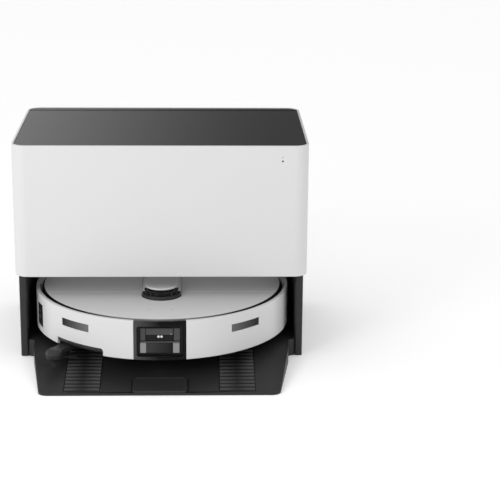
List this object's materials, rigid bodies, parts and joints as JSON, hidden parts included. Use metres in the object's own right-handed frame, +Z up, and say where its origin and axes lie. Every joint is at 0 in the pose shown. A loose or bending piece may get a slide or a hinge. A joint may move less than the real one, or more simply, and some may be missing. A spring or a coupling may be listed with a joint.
{
  "type": "robot vacuum",
  "caption": "Round robot vacuum and mop docked in a box-shaped cleaning station with a ramp, water tanks, dust bag and hinged top lid.",
  "frame": {"origin": "on the floor at the middle of the station's footprint", "axes": "+Z up, +Y towards the station's back, +X to the right when facing the station's front"},
  "size_m": [0.4, 0.4, 0.301],
  "materials": {
    "white_shell": "satin white moulded plastic",
    "black_plastic": "fine matt black moulded plastic",
    "dark_gloss": "polished dark plastic",
    "grey_plastic": "matt dark grey plastic",
    "smoke_tank": "smoke tinted clear plastic",
    "rubber": "matt black rubber",
    "mop_cloth": "looped microfibre",
    "bag_cloth": "pressed non-woven fabric",
    "teal_card": "dyed card",
    "circuit_board": "solder mask",
    "contact_metal": "plated spring contact"
  },
  "bodies": {
    "station": {"base_plate": "black_plastic", "left_track": "rubber", "right_track": "rubber", "front_tab": "black_plastic", "wash_tray": "grey_plastic", "left_side_wall": "black_plastic", "right_side_wall": "black_plastic", "rear_wall": "black_plastic", "upper_deck": "black_plastic", "outer_housing": "white_shell", "lid_hinge_bar": "dark_gloss", "clean_water_tank": "smoke_tank", "clean_tank_cap": "grey_plastic", "dirty_water_tank": "grey_plastic", "dirty_tank_cap": "grey_plastic", "dust_bag": "bag_cloth", "dust_bag_collar": "teal_card", "suction_motor": "grey_plastic", "power_inlet": "black_plastic", "status_light": "smoke_tank"},
    "lid": {"top_lid": "dark_gloss"},
    "left_charge_pin": {"left_contact": "contact_metal"},
    "right_charge_pin": {"right_contact": "contact_metal"},
    "robot": {"chassis": "black_plastic", "rear_shell": "white_shell", "top_deck": "black_plastic", "front_cover": "white_shell", "lidar_window": "dark_gloss", "lidar_cap": "white_shell", "camera_module": "black_plastic", "battery_pack": "grey_plastic", "main_board": "circuit_board", "dust_bin": "smoke_tank", "fan_housing": "grey_plastic"},
    "bumper": {"front_bumper": "white_shell", "camera_window": "dark_gloss", "left_sensor_window": "dark_gloss", "right_sensor_window": "dark_gloss", "side_sensor_window": "dark_gloss"},
    "robot_lid": {"rear_lid": "white_shell"},
    "power_key": {"power_button": "white_shell"},
    "home_key": {"home_button": "white_shell"},
    "turret": {"lidar_rotor": "black_plastic"},
    "fan": {"fan_impeller": "grey_plastic"},
    "mop_lifter": {"mop_gearbox": "grey_plastic"},
    "left_mop": {"left_mop_plate": "grey_plastic", "left_mop_pad": "mop_cloth"},
    "right_mop": {"right_mop_plate": "grey_plastic", "right_mop_pad": "mop_cloth"},
    "brush": {"main_brush": "rubber"},
    "left_arm": {"left_wheel_arm": "grey_plastic"},
    "right_arm": {"right_wheel_arm": "grey_plastic"},
    "left_wheel": {"left_wheel_hub": "grey_plastic", "left_tyre": "rubber"},
    "right_wheel": {"right_wheel_hub": "grey_plastic", "right_tyre": "rubber"},
    "caster": {"caster_fork": "grey_plastic"},
    "caster_roller": {"caster_wheel": "white_shell"},
    "sweeper_arm": {"side_brush_arm": "grey_plastic"},
    "sweeper": {"side_brush": "rubber"}
  },
  "joints": [
    {"name": "lid_hinge", "type": "hinge", "parent": "station", "child": "lid", "pos_m": [0, 0.176, 0.295], "axis": [-1, 0, 0], "range_deg": [0, 85]},
    {"name": "left_contact_press", "type": "slide", "parent": "station", "child": "left_charge_pin", "axis": [0, 1, 0], "range_m": [0, 0.002], "stiffness_N_per_m": 300, "springref_m": -0.001},
    {"name": "right_contact_press", "type": "slide", "parent": "station", "child": "right_charge_pin", "axis": [0, 1, 0], "range_m": [0, 0.002], "stiffness_N_per_m": 300, "springref_m": -0.001},
    {"name": "robot_drive_out", "type": "slide", "parent": "station", "child": "robot", "axis": [0, -1, 0], "range_m": [0, 0.4]},
    {"name": "bumper_press", "type": "slide", "parent": "robot", "child": "bumper", "axis": [0, 1, 0], "range_m": [0, 0.003], "stiffness_N_per_m": 400, "springref_m": -0.002},
    {"name": "robot_lid_lift", "type": "slide", "parent": "robot", "child": "robot_lid", "axis": [0, 0, 1], "range_m": [0, 0.015]},
    {"name": "power_button_press", "type": "slide", "parent": "robot", "child": "power_key", "axis": [0, 0, -1], "range_m": [0, 0.0006], "stiffness_N_per_m": 400, "springref_m": -0.0004},
    {"name": "home_button_press", "type": "slide", "parent": "robot", "child": "home_key", "axis": [0, 0, -1], "range_m": [0, 0.0006], "stiffness_N_per_m": 400, "springref_m": -0.0004},
    {"name": "lidar_spin", "type": "hinge", "parent": "robot", "child": "turret", "pos_m": [0, -0.043, 0.085], "axis": [0, 0, 1], "continuous": true},
    {"name": "fan_spin", "type": "hinge", "parent": "robot", "child": "fan", "pos_m": [0.103, 0.053, 0.058], "axis": [0, 0, 1], "continuous": true},
    {"name": "mop_lift", "type": "slide", "parent": "robot", "child": "mop_lifter", "axis": [0, 0, 1], "range_m": [0, 0.008]},
    {"name": "left_mop_spin", "type": "hinge", "parent": "mop_lifter", "child": "left_mop", "pos_m": [-0.065, 0.091, 0.034], "axis": [0, 0, 1], "continuous": true},
    {"name": "right_mop_spin", "type": "hinge", "parent": "mop_lifter", "child": "right_mop", "pos_m": [0.065, 0.091, 0.034], "axis": [0, 0, 1], "continuous": true},
    {"name": "main_brush_spin", "type": "hinge", "parent": "robot", "child": "brush", "pos_m": [0, -0.0655, 0.0445], "axis": [1, 0, 0], "continuous": true},
    {"name": "left_arm_swing", "type": "hinge", "parent": "robot", "child": "left_arm", "pos_m": [-0.08, -0.035, 0.0575], "axis": [1, 0, 0], "range_deg": [0, 5], "stiffness_Nm_per_rad": 2, "springref_deg": -11.46},
    {"name": "right_arm_swing", "type": "hinge", "parent": "robot", "child": "right_arm", "pos_m": [0.08, -0.035, 0.0575], "axis": [1, 0, 0], "range_deg": [0, 5], "stiffness_Nm_per_rad": 2, "springref_deg": -11.46},
    {"name": "left_wheel_spin", "type": "hinge", "parent": "left_arm", "child": "left_wheel", "pos_m": [-0.102, -0.005, 0.0508], "axis": [1, 0, 0], "continuous": true},
    {"name": "right_wheel_spin", "type": "hinge", "parent": "right_arm", "child": "right_wheel", "pos_m": [0.102, -0.005, 0.0508], "axis": [1, 0, 0], "continuous": true},
    {"name": "caster_swivel", "type": "hinge", "parent": "robot", "child": "caster", "pos_m": [0, -0.123, 0.045], "axis": [0, 0, 1], "continuous": true},
    {"name": "caster_roll", "type": "hinge", "parent": "caster", "child": "caster_roller", "pos_m": [0, -0.119, 0.036], "axis": [1, 0, 0], "continuous": true},
    {"name": "side_brush_swing", "type": "hinge", "parent": "robot", "child": "sweeper_arm", "pos_m": [-0.105, -0.078, 0.0364], "axis": [0, 0, 1], "range_deg": [0, 66]},
    {"name": "side_brush_spin", "type": "hinge", "parent": "sweeper_arm", "child": "sweeper", "pos_m": [-0.1416, -0.131, 0.028], "axis": [0, 0, 1], "continuous": true}
  ],
  "couplings": [
    {"joint": "right_mop_spin", "follows": "left_mop_spin", "ratio": -1}
  ]
}
